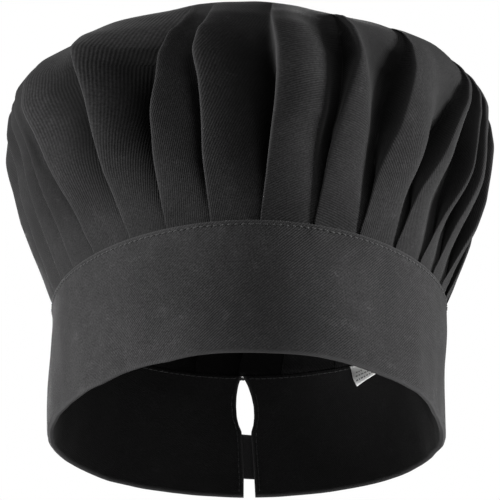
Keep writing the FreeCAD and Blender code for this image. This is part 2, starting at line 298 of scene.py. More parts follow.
def egg_outward(shape, turn):
    width, depth, swell, shift = shape
    dx = width * (np.cos(turn) - swell * np.cos(2.0 * turn))
    dy = depth * np.sin(turn)
    length = np.hypot(dx, dy)
    return dy / length, -dx / length


TABLE_HEIGHTS = np.linspace(0.0, BAND_HEIGHT, 25)


def length_table(height, count=2000):
    turn = np.linspace(math.pi, -math.pi, count)
    x, y = egg_point(egg_at(height), turn)
    step = np.hypot(np.diff(x), np.diff(y))
    return turn, np.concatenate([[0.0], np.cumsum(step)])


LENGTH_TABLES = [length_table(height) for height in TABLE_HEIGHTS]


def outline_length(height):
    totals = [table[1][-1] for table in LENGTH_TABLES]
    return np.interp(height, TABLE_HEIGHTS, totals)


def back_turn(along, height):
    """Turn at a length from the middle of the slit."""
    along, height = np.broadcast_arrays(np.asarray(along, float), np.asarray(height, float))
    total = outline_length(height)
    lap = np.mod(along, total) / total
    spot = np.clip(height / BAND_HEIGHT, 0.0, 1.0) * (len(TABLE_HEIGHTS) - 1)
    low = np.minimum(spot.astype(int), len(TABLE_HEIGHTS) - 2)
    turn = np.zeros(along.shape)
    for k in np.unique(low):
        pick = low == k
        share = (spot - low)[pick]
        ends = []
        for table_turn, table_length in LENGTH_TABLES[k : k + 2]:
            ends.append(np.interp(lap[pick] * table_length[-1], table_length, table_turn))
        turn[pick] = ends[0] * (1.0 - share) + ends[1] * share
    return turn


def slit_edges(height):
    """Lengths along the band where the slit's two edges are, low and high."""
    rows = np.array(SLIT_ROWS)
    half = np.interp(height, rows[:, 0], rows[:, 1])
    middle = np.interp(height, rows[:, 0], rows[:, 2])
    return middle - half, middle + half


broad_wave = Waves(75.0, 11)
small_wave = Waves(24.0, 12, stretch=(1.0, 1.0, 1.6))
pucker_wave = Waves(7.0, 14, stretch=(1.0, 1.0, 2.5))
rim_wave = Waves(80.0, 13)


def band_slack(point):
    """How far the cloth stands out from the plain band at a point of it."""
    height = point[..., 2]
    ease = smooth(height, 57.5, 44.0)
    near_row = smooth(height, 47.0, 53.0) * smooth(height, 57.8, 55.5)
    near_row = near_row + 0.5 * smooth(height, 9.0, 1.0)
    out = (broad_wave(point) * 0.6 + small_wave(point) * 0.16) * ease
    return out + pucker_wave(point) * 0.07 * near_row


def band_place(along, height, offset):
    """Where a point of the band lies, with the cloth's own slack."""
    along, height, offset = np.broadcast_arrays(
        np.asarray(along, float), np.asarray(height, float), np.asarray(offset, float)
    )
    turn = back_turn(along, height)
    shape = egg_at(height)
    x, y = egg_point(shape, turn)
    out_x, out_y = egg_outward(shape, turn)
    point = np.stack([x, y, height], -1)
    out = np.stack([out_x, out_y, np.zeros(x.shape)], -1)
    lift = np.abs(rim_wave(point)) * 0.45 * smooth(height, 14.0, 0.0)
    point = point + out * (offset + band_slack(point))[..., None]
    point[..., 2] += lift
    return point


def band_outward(along, height):
    turn = back_turn(along, height)
    out_x, out_y = egg_outward(egg_at(height), turn)
    return np.stack(np.broadcast_arrays(out_x, out_y, 0.0), -1)


# ------------------------------------------------------------------------ crown
class Envelope:
    """The surface that the crests of the pleats touch, by turn and by length up
    the crown from the seam."""

    def __init__(self):
        rows = np.array(PROFILE)
        step = np.hypot(np.diff(rows[:, 1]), np.diff(rows[:, 0]))
        at = np.concatenate([[0.0], np.cumsum(step)])
        at -= at[SEAM_ROW]
        self.low, self.high = at[0], at[-1]
        fine = np.linspace(at[0], at[-1], 900)
        table = np.stack([np.interp(fine, at, rows[:, c]) for c in range(6)], -1)
        soft = np.stack([blurred(table[:, c], 41) for c in range(6)], -1)
        keep = smooth(fine, -2.0, 8.0) * (1.0 - smooth(fine, at[-1] - 14.0, at[-1] - 4.0))
        self.at = fine
        self.table = table + (soft - table) * keep[:, None]

    def point(self, turn, length):
        row = [np.interp(length, self.at, self.table[:, c]) for c in range(6)]
        height, width, depth, swell, shift, lean = row
        x, y = egg_point((width, depth, swell, shift), turn)
        return np.stack([x + lean, y, height], -1)

    def normal(self, turn, length):
        e = 0.01
        du = self.point(turn + e, length) - self.point(turn - e, length)
        low = np.clip(length - 1.0, self.low, self.high)
        high = np.clip(length + 1.0, self.low, self.high)
        dv = self.point(turn, high) - self.point(turn, low)
        return unit(np.cross(du, dv))


def fold_tables():
    """Turn, shoulder share and depth of every pleat at FOLD_LEVELS, and its slope."""
    turns, shares, depths, slopes = (list(column) for column in zip(*FRONT_FOLDS))
    first = np.array(turns[0], float) + 360.0
    last = np.array(turns[-1], float)
    for i in range(BACK_FOLDS):
        share = (i + 1) / (BACK_FOLDS + 1)
        play = rng.uniform(-1.6, 1.6) + rng.uniform(-1.4, 1.4, 5) * np.linspace(0.0, 1.0, 5)
        turns.append(last + (first - last) * share + play)
        shares.append(np.clip(np.array(BACK_SHARES) + rng.uniform(-0.12, 0.12), 0.1, 0.97))
        depths.append(np.array(BACK_DEPTHS) * rng.uniform(0.75, 1.25))
        slopes.append(rng.uniform(0.3, 0.9))
    turns = np.radians(np.array(turns, float))
    return turns, np.array(shares, float), np.array(depths, float), np.array(slopes)


def level_curve(values, length):
    """Each pleat's value at each length, through its values at FOLD_LEVELS."""
    levels = np.array(FOLD_LEVELS)
    fine = np.linspace(levels[0] - 20.0, levels[-1] + 20.0, 280)
    curves = [blurred(np.interp(fine, levels, row), 37) for row in values]
    return np.stack([np.interp(length, fine, curve) for curve in curves], 1)


def cubic_weights(t):
    """Uniform cubic B-spline weights."""
    second = (3 * t**3 - 6 * t**2 + 4) / 6.0
    third = (-3 * t**3 + 3 * t**2 + 3 * t + 1) / 6.0
    return np.stack([(1 - t) ** 3 / 6.0, second, third, t**3 / 6.0], -1)


def pleat_outline(length):
    """Turn and depth of the cloth's points round the crown at each length."""
    turns, shares, depths, slopes = fold_tables()
    crest = level_curve(turns, length)
    roll = level_curve(shares, length)
    deep = level_curve(depths, length)
    L = length[:, None]
    deep = deep * (1.0 - smooth(L, 84.0, 120.0))
    deep = np.where(L < 0.0, 0.7, deep)
    opened = smooth(L, 0.0, 30.0)
    under = (0.62 - 0.48 * smooth(L, -4.0, 44.0)) * (1.0 - smooth(L, 46.0, 80.0))
    bulge = 1.3 * opened * (1.0 - smooth(L, 90.0, 130.0)) * (1.0 - slopes)

    # Control points of one pleat: share of the way to the next fold, and depth.
    ahead = np.concatenate([crest[:, 1:], crest[:, :1] + 2.0 * math.pi], 1)
    zero = np.zeros_like(deep)
    one = zero + 1.0
    under = under + zero
    bulge = bulge + zero
    ctrl = [
        (zero - 0.01, zero - 0.02 * deep),
        (zero + 0.04, zero + 0.25 * bulge),
        (0.35 * roll, bulge - 0.13 * slopes * deep),
        (0.75 * roll, 0.7 * bulge - (0.03 + 0.4 * slopes) * deep),
        (roll, -(0.25 + 0.37 * slopes) * deep),
        (roll + 0.45 * (one - roll), -(0.72 + 0.14 * slopes) * deep),
        (one + 0.9 * under - 0.22 * (one - roll), -0.97 * deep),
        (one + under - 0.04 * (one - roll), -1.0 * deep),
        (one + 0.75 * under, -0.74 * deep),
        (one + 0.2 * under, -0.34 * deep),
    ]
    count = len(ctrl)
    share = np.stack([c[0] for c in ctrl], -1)
    depth = np.stack([c[1] for c in ctrl], -1)
    turn = crest[..., None] + share * (ahead - crest)[..., None]
    rows = len(length)
    turn = turn.reshape(rows, -1)
    depth = depth.reshape(rows, -1)

    # Periodic spline through the control points of all the pleats.
    total = PLEATS * count
    s = np.arange(PLEATS * SAMPLES) * (total / (PLEATS * SAMPLES))
    k = np.floor(s).astype(int)
    w = cubic_weights(s - k)
    at_turn = np.zeros((rows, len(s)))
    at_depth = np.zeros((rows, len(s)))
    for j in range(4):
        idx = k + j - 1
        lap = np.floor_divide(idx, total)
        at_turn += (turn[:, idx % total] + 2.0 * math.pi * lap) * w[:, j]
        at_depth += depth[:, idx % total] * w[:, j]
    return at_turn, at_depth


def make_crown():
    env = Envelope()
    share = np.linspace(0.0, 1.0, ROWS)
    length = env.low + (env.high - env.low) * (0.66 * share + 0.34 * share**1.9)
    turn, depth = pleat_outline(length)
    L = np.repeat(length[:, None], turn.shape[1], 1)
    # The cloth's edge stays above the slit, and goes into the pocket beside it.
    from_slit = np.abs(np.mod(turn, 2.0 * math.pi) - math.pi) * 90.0
    tuck = 0.06 + 0.94 * smooth(from_slit, 6.0, 16.0)
    L = np.where(L < 0.0, L * tuck, L)
    normal = env.normal(turn, L)
    fold = depth
    for centre, level, reach_turn, reach_length, out in BULGES:
        away = np.degrees(np.mod(turn - math.radians(centre) + math.pi, 2.0 * math.pi) - math.pi)
        depth = depth + out * np.exp(-((away / reach_turn) ** 2) - ((L - level) / reach_length) ** 2)
    pos = env.point(turn, L) + normal * (depth - CROWN_SHEET)[..., None]

    # Slack in the cloth: broad sags, then drag lines, then small crumples.
    loose = smooth(L, 4.0, 45.0)
    sag = Waves(120.0, 3)(pos) * 2.0 + Waves(52.0, 4, stretch=(1, 1, 1.8))(pos) * 0.8
    crumple = Waves(24.0, 5, stretch=(1, 1, 1.8))(pos) * 0.22
    pos = pos + normal * ((sag + crumple) * loose)[..., None]
    # In the pocket it follows the band's own slack.
    pos = pos + normal * (band_slack(pos) * smooth(L, 0.5, -0.5))[..., None]

    # Where each point lies on the flat round cloth.
    step = np.linalg.norm(np.roll(pos, -1, 1) - pos, axis=-1)
    step = step.reshape(ROWS, PLEATS, SAMPLES)
    run = np.concatenate([np.zeros((ROWS, PLEATS, 1)), np.cumsum(step, 2)], 2)
    run = run[..., :-1] / run[..., -1:]
    grain = np.radians(np.array(FRONT_GRAIN + (0,) * BACK_FOLDS, float))
    past = np.arange(SAMPLES) > GRAIN_CHANGE * SAMPLES
    turned = np.where(past[None], np.roll(grain, -1)[:, None], grain[:, None])
    angle = (np.arange(PLEATS)[None, :, None] + run) * (2.0 * math.pi / PLEATS) + turned
    radius = (env.high + 2.0 - L).reshape(ROWS, PLEATS, SAMPLES)
    uv = np.stack([radius * np.cos(angle), radius * np.sin(angle)], -1) * MM

    # Painted highlight: the cloth is paler along the pleats' fold edges, where the side lights catch them.
    # Painted shade: it goes deep black in the hollows of the folds.
    phase = np.arange(PLEATS * SAMPLES) % SAMPLES / SAMPLES
    near_fold = np.exp(-((np.minimum(phase, 1.0 - phase) / 0.06) ** 2))
    wear_and_painted_light = near_fold[None] * smooth(L, 2.0, 12.0) * (1.0 - smooth(L, 85.0, 120.0))
    wear_and_painted_light = wear_and_painted_light - smooth(-fold, 1.5, 11.5) * (1.0 - near_fold[None])

    cols = PLEATS * SAMPLES
    faces = grid_faces(ROWS, cols, wrap_cols=True)
    tip = ROWS * cols
    points = np.concatenate([pos.reshape(-1, 3), pos[-1].mean(0)[None]])
    uv = np.concatenate([uv.reshape(-1, 2), [[0.0, 0.0]]])
    wear_and_painted_light = np.concatenate([wear_and_painted_light.ravel(), [0.0]])
    first = (ROWS - 1) * cols
    for c in range(cols):
        faces.append((first + c, first + (c + 1) % cols, tip))
    return make_mesh("pleated_crown", points, faces, uv, wear_and_painted_light)


# ------------------------------------------------------------------------- band
def upright(offset, low, high, count):
    """Straight part of a section, as (offset, height) points."""
    return np.stack([np.full(count, offset), np.linspace(low, high, count)], -1)


def half_turn(offset, height, reach_out, reach_up, count):
    """Part of a section that turns round, about the middle given first."""
    a = np.linspace(0.0, math.pi, count)
    return np.stack([offset + reach_out * np.cos(a), height + reach_up * np.sin(a)], -1)


def make_band():
    """One strip of cloth, folded along the rim, its long edges turned in."""
    top = BAND_HEIGHT
    inner_top = top - 0.6
    pocket = top - POCKET_DEPTH
    inner = -BAND_THICK
    turned = inner + OUTER_PLY
    half = 0.5 * BAND_THICK
    ply = 0.5 * OUTER_PLY
    section = np.concatenate(
        [
            upright(-OUTER_PLY, pocket, top - 1.0, 5),
            half_turn(-ply, top - 0.4, -ply, 0.4, 5),
            upright(0.0, top - 1.0, 1.6, 44),
            half_turn(-half, half, half, -half, 11),
            upright(inner, 1.6, inner_top - 1.0, 38),
            half_turn(inner + ply, inner_top - 0.4, -ply, ply, 5),
            upright(turned, inner_top - 1.0, pocket, 5),
        ]
    )
    offset = section[:, :1]
    height = section[:, 1:]
    # More columns near the two ends, where the strip rounds off.
    near = END_ROUND * (1.0 - np.cos(np.linspace(0.0, 0.5 * math.pi, 7)))
    low_edge, high_edge = slit_edges(height)
    start = high_edge
    end = outline_length(height) + low_edge
    body = np.linspace(0.0, 1.0, BAND_COLUMNS - 2 * len(near))[None]
    first = start + near[None]
    last = end - near[None][:, ::-1]
    middle = start + END_ROUND + 1.2 + (end - start - 2.0 * (END_ROUND + 1.2)) * body
    along = np.concatenate([first, middle, last], 1)
    inset = np.minimum(along - start, end - along)
    squeeze = 0.04 + 0.96 * rounded(inset, END_ROUND)
    offset = -half + (offset + half) * squeeze
    height = np.repeat(height, along.shape[1], 1)
    points = band_place(along, height, offset)
    faces = grid_faces(len(section), along.shape[1])
    uv = flat_map(along, girth(section))
    near_top = np.exp(-(((height - top) / 0.5) ** 2))
    near_rim = np.exp(-((height / 0.8) ** 2))
    near_end = np.exp(-((inset / 0.8) ** 2))
    wear_and_painted_light = np.maximum(np.maximum(near_top, near_rim), near_end)
    # Painted shade: the band's inner layer is darkened towards black, except at its pale worn edges.
    wear_and_painted_light = wear_and_painted_light - INSIDE_PAINTED_SHADE * smooth(-offset, half, BAND_THICK) * (1.0 - wear_and_painted_light)
    return make_mesh("folded_band", points.reshape(-1, 3), faces, uv, wear_and_painted_light.ravel())


# ------------------------------------------------------- strips that follow it
def make_strip(name, start, end, low, high, inner, thick, cols, rows, seamed=False):
    """Flat strip with round edges that lies along the band.

    inner gives the offset of its inner face at each length along. end may be
    negative: then the strip goes all round, to that length before the slit. A
    seamed strip is a folded cloth: its two edges meet along the bottom and aren't
    joined."""
    radius = 0.5 * thick
    flat = np.linspace(low + radius, high - radius, rows)[1:-1]
    quarter = np.linspace(0.5 * math.pi, 0.0, 4)
    a = np.concatenate([quarter, np.linspace(0.0, math.pi, 7), math.pi - quarter[::-1]])
    up = np.concatenate([np.full(4, low + radius), np.full(7, high - radius), np.full(4, low + radius)])
    bent = np.stack([up + radius * np.sin(a) * np.repeat([-1, 1, -1], [4, 7, 4]), 0.5 + 0.5 * np.cos(a)], -1)
    outside = np.stack([flat, np.ones(rows - 2)], -1)
    inside = np.stack([flat[::-1], np.zeros(rows - 2)], -1)
    section = np.concatenate([bent[:4], outside, bent[4:11], inside, bent[11:]])
    if not seamed:
        section = section[:-1]
    round_trip = end < start
    if round_trip:
        rough_end = float(outline_length(low)) + end
        end, inset = rough_end, -end
    bend = radius * (1.0 - np.cos(np.linspace(0.0, 0.5 * math.pi, 5)))
    body = np.linspace(start + radius, end - radius, cols)[1:-1]
    along = np.concatenate([start + bend, body, end - bend[::-1]])[None]
    from_end = np.clip(np.minimum(along - start, end - along), 0.0, radius)
    squeeze = 0.08 + 0.92 * rounded(from_end, radius)
    corner = radius * (1.0 - squeeze)
    middle = 0.5 * (low + high)
    height = middle + (section[:, :1] - middle) * (1.0 - 2.0 * corner / (high - low))
    depth = 0.5 + (section[:, 1:] - 0.5) * squeeze
    offset = inner(along) + thick * depth
    if round_trip:
        stretch = (outline_length(height) - inset - start) / (rough_end - start)
        along = start + (along - start) * stretch
    points = band_place(along, height, offset)
    rows, cols = height.shape
    faces = grid_faces(rows, cols, wrap_rows=not seamed)
    faces.append([r * cols for r in range(rows)])
    faces.append([r * cols + cols - 1 for r in reversed(range(rows))])
    uv = flat_map(along, girth(section, thick))
    ends = np.exp(-((from_end / 0.7) ** 2))
    sides = np.exp(-((np.minimum(height - low, high - height) / 0.5) ** 2))
    wear_and_painted_light = np.maximum(np.broadcast_to(ends, height.shape), sides)
    return make_mesh(name, points.reshape(-1, 3), faces, uv, wear_and_painted_light.ravel())


def level_face(value):
    return lambda along: np.full(np.shape(along), value)


def tab_inner(along):
    """The tab's inner face: it climbs over the loop tape after the slit."""
    hook_face = TOUCH + LOOP_TAPE_THICK + BODY_GAP
    high = hook_face + HOOK_TAPE_THICK + TOUCH
    rise = smooth(along, TAB_FOLD, TAB_CLIMB_END)
    free = TAB_START_FACE + (high - TAB_START_FACE) * rise
    sewn = smooth(along, TAB_FOLD - 4.0, TAB_FOLD)
    return TOUCH + (free - TOUCH) * sewn


# ---------------------------------------------------------------------- threads
def make_tubes(name, paths, radii, across, sides):
    """Round threads along planar paths. across is each path's plane normal."""
    count, stations = paths.shape[:2]
    tangent = unit(np.gradient(paths, axis=1))
    binormal = unit(across)[:, None, :]
    normal = unit(np.cross(tangent, binormal))
    a = np.linspace(0.0, 2.0 * math.pi, sides, endpoint=False)
    ring = np.cos(a)[:, None] * normal[:, :, None] + np.sin(a)[:, None] * binormal[:, :, None]
    points = paths[:, :, None] + ring * np.asarray(radii)[None, :, None, None]
    faces = []
    for i in range(count):
        base = i * stations * sides
        for s in range(stations - 1):
            for k in range(sides):
                j = (k + 1) % sides
                p = base + s * sides
                faces.append((p + k, p + j, p + sides + j, p + sides + k))
        faces.append([base + k for k in reversed(range(sides))])
        faces.append([base + (stations - 1) * sides + k for k in range(sides)])
    run = np.linspace(0.0, 1.0, stations)[None, :, None] * STITCH
    turn = np.linspace(0.0, 1.0, sides)[None, None, :]
    first = np.arange(count)[:, None, None] * STITCH
    uv = flat_map(run + first, turn)
    return make_mesh(name, points.reshape(-1, 3), faces, uv)


STITCH_SHARE = np.array([0.0, 0.12, 0.3, 0.5, 0.7, 0.88, 1.0])
STITCH_RADII = np.array([0.5, 0.85, 1.0, 1.0, 1.0, 0.85, 0.5]) * THREAD
STITCH_LIFT = np.array([-0.9, 0.1, 0.75, 0.9, 0.75, 0.1, -0.9]) * THREAD


def stitch_paths(starts, ends, outward):
    """Path of each stitch: out of one needle hole and into the next."""
    share = STITCH_SHARE[None, :, None]
    lift = STITCH_LIFT[None, :, None]
    return starts[:, None] * (1.0 - share) + ends[:, None] * share + outward[:, None] * lift


def needle_holes(corners, gap=0.35):
    """Stitches along a line of (along, height) corners: their two ends."""
    starts = []
    ends = []
    for a, b in zip(corners, corners[1:]):
        a = np.array(a, float)
        b = np.array(b, float)
        run = np.linalg.norm(b - a)
        count = max(1, int(round(run / STITCH)))
        for i in range(count):
            one = a + (b - a) * (i + 0.5 * gap / STITCH) / count
            two = a + (b - a) * (i + 1.0 - 0.5 * gap / STITCH) / count
            play = rng.normal(0.0, 0.035, 2)
            starts.append(one + play)
            ends.append(two + play)
    return np.array(starts), np.array(ends)


def make_row(name, lines, face):
    """Sewn rows on faces of the band.

    lines is a list of (corners, side); side is 1 outwards and -1 inwards, and
    face(along, side) is the offset that the thread lies on."""
    paths = []
    across = []
    for corners, side in lines:
        starts, ends = needle_holes(corners)
        first = band_place(starts[:, 0], starts[:, 1], face(starts[:, 0], side))
        last = band_place(ends[:, 0], ends[:, 1], face(ends[:, 0], side))
        outward = side * band_outward(starts[:, 0], starts[:, 1])
        paths.append(stitch_paths(first, last, outward))
        across.append(np.cross(last - first, outward))
    return make_tubes(name, np.concatenate(paths), STITCH_RADII, np.concatenate(across), 6)


def band_face(along, side):
    return np.where(np.full(np.shape(along), side) > 0, PROUD, -BAND_THICK - PROUD)


def rectangle(start, end, low, high):
    return [(start, low), (end, low), (end, high), (start, high), (start, low)]


def inset_box(start, end, low, high, edge):
    return rectangle(start + edge, end - edge, low + edge, high - edge)


def round_the_band(height):
    """Corners of a row from one side of the slit round to the other."""
    low_edge, high_edge = slit_edges(height)
    return [(high_edge + 2.2, height), (float(outline_length(height)) + low_edge - 2.2, height)]


def beside_slit(side):
    """Corners of the upright row on one side of the slit, following its edge."""
    corners = []
    for height in np.arange(2.2, 53.0, STITCH * 2.0):
        low_edge, high_edge = slit_edges(height)
        corners.append((high_edge + SLIT_ROW_IN if side > 0 else low_edge - SLIT_ROW_IN, height))
    return corners


def make_bartack():
    """Satin bar across the top of the slit."""
    spots = np.arange(-4.4, 4.4, 0.38)
    lean = 0.14 * np.where(np.arange(len(spots)) % 2, 1.0, -1.0)
    first = band_place(spots - lean, 55.95, 0.1)
    last = band_place(spots + lean, 57.75, 0.1)
    outward = band_outward(spots, np.full(len(spots), 56.8))
    paths = stitch_paths(first, last, outward * 1.5)
    across = np.cross(last - first, outward)
    return make_tubes("slit_bar", paths, STITCH_RADII * 1.05, across, 6)


# --------------------------------------------------------------- hook and loop
def tape_spots(start, end, low, high, pitch, play):
    along, height = np.meshgrid(np.arange(start, end, pitch), np.arange(low, high, pitch))
    along = along.ravel() + rng.uniform(-play, play, along.size)
    height = height.ravel() + rng.uniform(-play, play, height.size)
    return along, height


def sideways(outward):
    """Level direction across a tape at each point, and straight up."""
    up = np.array([0.0, 0.0, 1.0])
    return unit(np.cross(outward, up)), up


def make_pile():
    """Loops that stand on the loop tape."""
    edge = 0.9
    start, end = LOOP_TAPE
    along, height = tape_spots(start + edge, end - edge, TAB_LOW + edge, TAB_HIGH - edge, 1.05, 0.3)
    base = TOUCH + LOOP_TAPE_BASE - 0.05
    foot = band_place(along, height, base)
    outward = band_outward(along, height)
    spin = rng.uniform(0.0, math.pi, len(along))
    around, up = sideways(outward)
    side = around * np.cos(spin)[:, None] + up * np.sin(spin)[:, None]
    wide = rng.uniform(0.3, 0.5, len(along))[:, None, None]
    tall = rng.uniform(0.5, 0.66, len(along))[:, None, None]
    a = np.linspace(-0.3, math.pi + 0.3, 7)
    reach = np.cos(a)[None, :, None] * side[:, None]
    rise = (0.45 + 0.55 * np.sin(a))[None, :, None] * outward[:, None]
    paths = foot[:, None] + reach * wide + rise * tall
    across = np.cross(side, outward)
    return make_tubes("loop_pile", paths, np.full(7, 0.06), across, 3)


def make_hooks():
    """Hooks that stand on the hook tape and point inwards at the loops."""
    edge = 1.3
    start, end = HOOK_TAPE
    low = TAB_LOW + TAPE_MARGIN + edge
    high = TAB_HIGH - TAPE_MARGIN - edge
    along, height = tape_spots(start + edge, end - edge + 0.5, low, high + 0.5, 1.3, 0.03)
    face = TOUCH + LOOP_TAPE_THICK + BODY_GAP + HOOK_TAPE_THICK - HOOK_TAPE_BASE
    foot = band_place(along, height, face + 0.05)
    inward = -band_outward(along, height)
    around = sideways(inward)[0]
    row = np.round(height / 1.3).astype(int) % 2
    side = np.where(row[:, None] > 0, around, -around)
    # Upright stem, then a turned-over tip: reach to the side, height.
    shape = np.array([(0.0, 0.0), (0.0, 0.3), (0.05, 0.5), (0.2, 0.64), (0.37, 0.58), (0.42, 0.42)])
    paths = foot[:, None] + side[:, None] * shape[None, :, :1] + inward[:, None] * shape[None, :, 1:]
    radii = np.array([0.11, 0.1, 0.09, 0.085, 0.075, 0.06])
    return make_tubes("hook_field", paths, radii, np.cross(side, inward), 5)


# ------------------------------------------------------------------- care label
def label_frame():
    """The label's top middle, its direction across, and its inward direction."""
    turn = back_turn(LABEL_ALONG, LABEL_TOP)
    shape = egg_at(LABEL_TOP)
    x, y = egg_point(shape, turn)
    out_x, out_y = egg_outward(shape, turn)
    outward = np.array([float(out_x), float(out_y), 0.0])
    middle = np.array([float(x), float(y), LABEL_TOP]) - outward * (BAND_THICK + LABEL_CLEAR)
    across = np.array([outward[1], -outward[0], 0.0])
    return middle, across, -outward


def label_spot(u, v):
    """Point of the label: u along its lower edge, v from the seam down to it."""
    foot = LABEL_FOOT + u * LABEL_WIDE * math.cos(LABEL_LEAN)
    drop = LABEL_DROP - u * LABEL_WIDE * math.sin(LABEL_LEAN)
    across = foot - drop * (1.0 - v) * math.tan(LABEL_LEAN)
    return across, drop * v


def label_place(u, v, depth):
    middle, across, inward = label_frame()
    side, down = label_spot(u, v)
    edge, _ = label_spot(np.ones_like(u), v)
    # Its low corner curls out from the band.
    twist = LABEL_TWIST * smooth(down, 0.0, LABEL_DROP)
    inset = depth + 0.35 * np.sin(u * 2.6 + 0.4) * smooth(down, 0.0, 9.0)
    inset = inset + (edge - side) * np.sin(twist)
    side = edge - (edge - side) * np.cos(twist)
    point = middle + across * side[..., None] + inward * inset[..., None]
    point[..., 2] = LABEL_TOP - down
    return point


def make_label():
    cols, rows = 40, 16
    u, v = np.meshgrid(np.linspace(0.0, 1.0, cols), np.linspace(0.0, 1.0, rows))
    rim = np.minimum(np.minimum(u, 1.0 - u) * LABEL_WIDE, (1.0 - v) * LABEL_DROP)
    pinch = 0.5 * LABEL_THICK * np.sqrt(np.clip(rim / 0.25, 0.02, 1.0))
    front = label_place(u, v, 0.5 * LABEL_THICK + pinch)
    back = label_place(u, v, 0.5 * LABEL_THICK - pinch)
    points = np.concatenate([front.reshape(-1, 3), back.reshape(-1, 3)])
    size = rows * cols
    faces = [face[::-1] for face in grid_faces(rows, cols)]
    faces += [tuple(size + i for i in reversed(face)) for face in faces]
    border = list(range(cols))
    border += [r * cols + cols - 1 for r in range(1, rows)]
    border += [(rows - 1) * cols + c for c in reversed(range(cols - 1))]
    border += [r * cols for r in reversed(range(1, rows - 1))]
    for a, b in zip(border, border[1:] + border[:1]):
        faces.append((a, b, size + b, size + a))
    flat = flat_map(u * LABEL_WIDE, v * LABEL_DROP)
    return make_mesh("care_tag", points, faces, np.concatenate([flat, flat]))


def make_label_marks():
    """Plain printed dashes that stand for the care text."""
    points = []
    faces = []
    uv = []
    for row in range(3):
        v = 0.84 - 0.2 * row
        u = 0.06 + 0.03 * row
        while u < 0.62 - 0.16 * row:
            wide = rng.uniform(0.03, 0.07)
            corners = np.array([(u, v), (u + wide, v), (u + wide, v - 0.07), (u, v - 0.07)])
            spots = label_place(corners[:, 0], corners[:, 1], np.full(4, LABEL_THICK + PROUD))
            base = len(points)
            points.extend(spots)
            uv.extend(corners)
            faces.append((base, base + 1, base + 2, base + 3))
            u += wide + 0.025
    return make_mesh("tag_marks", np.array(points), faces, np.array(uv))


def make_label_row():
    left, _ = label_spot(np.array(0.0), np.array(0.0))
    right, _ = label_spot(np.array(1.0), np.array(0.0))
    middle, across, inward = label_frame()
    spots = np.arange(float(left) + 1.6, float(right) - 3.0, 2.4)
    down = 0.85
    paths = []
    for spot in spots:
        first = middle + across * spot + inward * (LABEL_THICK + 0.05)
        last = first + across * 2.0
        first[2] = last[2] = LABEL_TOP - down
        paths.append(stitch_paths(first[None], last[None], inward[None])[0])
    across_all = np.repeat(np.cross(across, inward)[None], len(spots), 0)
    return make_tubes("tag_row", np.array(paths), STITCH_RADII * 0.7, across_all, 6)


# -------------------------------------------------------------------- materials
class Nodes:
    """Short ways to add shader nodes to one material."""

    def __init__(self, name):
        self.mat = bpy.data.materials.new(name)
        self.mat.use_nodes = True
        self.tree = self.mat.node_tree
        self.tree.nodes.clear()
        out = self.add("ShaderNodeOutputMaterial")
        self.shader = self.add("ShaderNodeBsdfPrincipled")
        self.link(self.shader.outputs["BSDF"], out.inputs["Surface"])
        self.uv = self.add("ShaderNodeUVMap")
        self.uv.uv_map = "cloth"

    def add(self, kind, **values):
        node = self.tree.nodes.new(kind)
        for key, value in values.items():
            setattr(node, key, value)
        return node

    def link(self, a, b):
        self.tree.links.new(a, b)

    def shade(self, **values):
        for key, value in values.items():
            self.shader.inputs[key.replace("_", " ")].default_value = value

    def math(self, kind, a, b):
        node = self.add("ShaderNodeMath", operation=kind)
        for socket, value in zip(node.inputs, (a, b)):
            if isinstance(value, (int, float)):
                socket.default_value = value
            else:
                self.link(value, socket)
        return node.outputs[0]

    def turned(self, angle):
        node = self.add("ShaderNodeVectorRotate", rotation_type="Z_AXIS")
        node.inputs["Angle"].default_value = angle
        self.link(self.uv.outputs["UV"], node.inputs["Vector"])
        return node.outputs["Vector"]

    def bands(self, vector, period_mm, distortion=0.0, detail=1.0):
        node = self.add("ShaderNodeTexWave", wave_type="BANDS", bands_direction="X")
        node.wave_profile = "SIN"
        node.inputs["Scale"].default_value = 2.0 * math.pi * 1000.0 / (period_mm * 20.0)
        node.inputs["Distortion"].default_value = distortion
        node.inputs["Detail"].default_value = detail
        node.inputs["Detail Scale"].default_value = 1.5
        self.link(vector, node.inputs["Vector"])
        return node.outputs["Fac"]

    def noise(self, vector, scale, detail=2.0):
        node = self.add("ShaderNodeTexNoise")
        node.inputs["Scale"].default_value = scale
        node.inputs["Detail"].default_value = detail
        self.link(vector, node.inputs["Vector"])
        return node.outputs["Fac"]

    def ramp(self, value, stops):
        node = self.add("ShaderNodeValToRGB")
        while len(node.color_ramp.elements) < len(stops):
            node.color_ramp.elements.new(0.5)
        for element, (at, color) in zip(node.color_ramp.elements, stops):
            element.position = at
            element.color = (*color, 1.0)
        self.link(value, node.inputs["Fac"])
        return node.outputs["Color"]

    def mix(self, factor, a, b, kind="MIX"):
        node = self.add("ShaderNodeMix", data_type="RGBA", blend_type=kind)
        for socket, value in ((node.inputs["Factor"], factor), (node.inputs["A"], a), (node.inputs["B"], b)):
            if isinstance(value, float):
                socket.default_value = value
            elif isinstance(value, tuple):
                socket.default_value = (*value, 1.0)
            else:
                self.link(value, socket)
        return node.outputs["Result"]

    def cloth_noise(self, scale, detail=2.0):
        return self.noise(self.uv.outputs["UV"], scale, detail)

    # Reads the per-point value of worn edges, painted highlight and painted shade.
    def wear_and_painted_light(self):
        node = self.add("ShaderNodeAttribute", attribute_name="wear_and_painted_light")
        return node.outputs["Fac"]

    def colour(self, value):
        self.link(value, self.shader.inputs["Base Color"])

    def bump(self, height, strength, distance):
        node = self.add("ShaderNodeBump")
        node.inputs["Strength"].default_value = strength
        node.inputs["Distance"].default_value = distance
        self.link(height, node.inputs["Height"])
        self.link(node.outputs["Normal"], self.shader.inputs["Normal"])


def scaled(color, factor):
    return tuple(c * factor for c in color)


def grey(value):
    return (value, value, value)


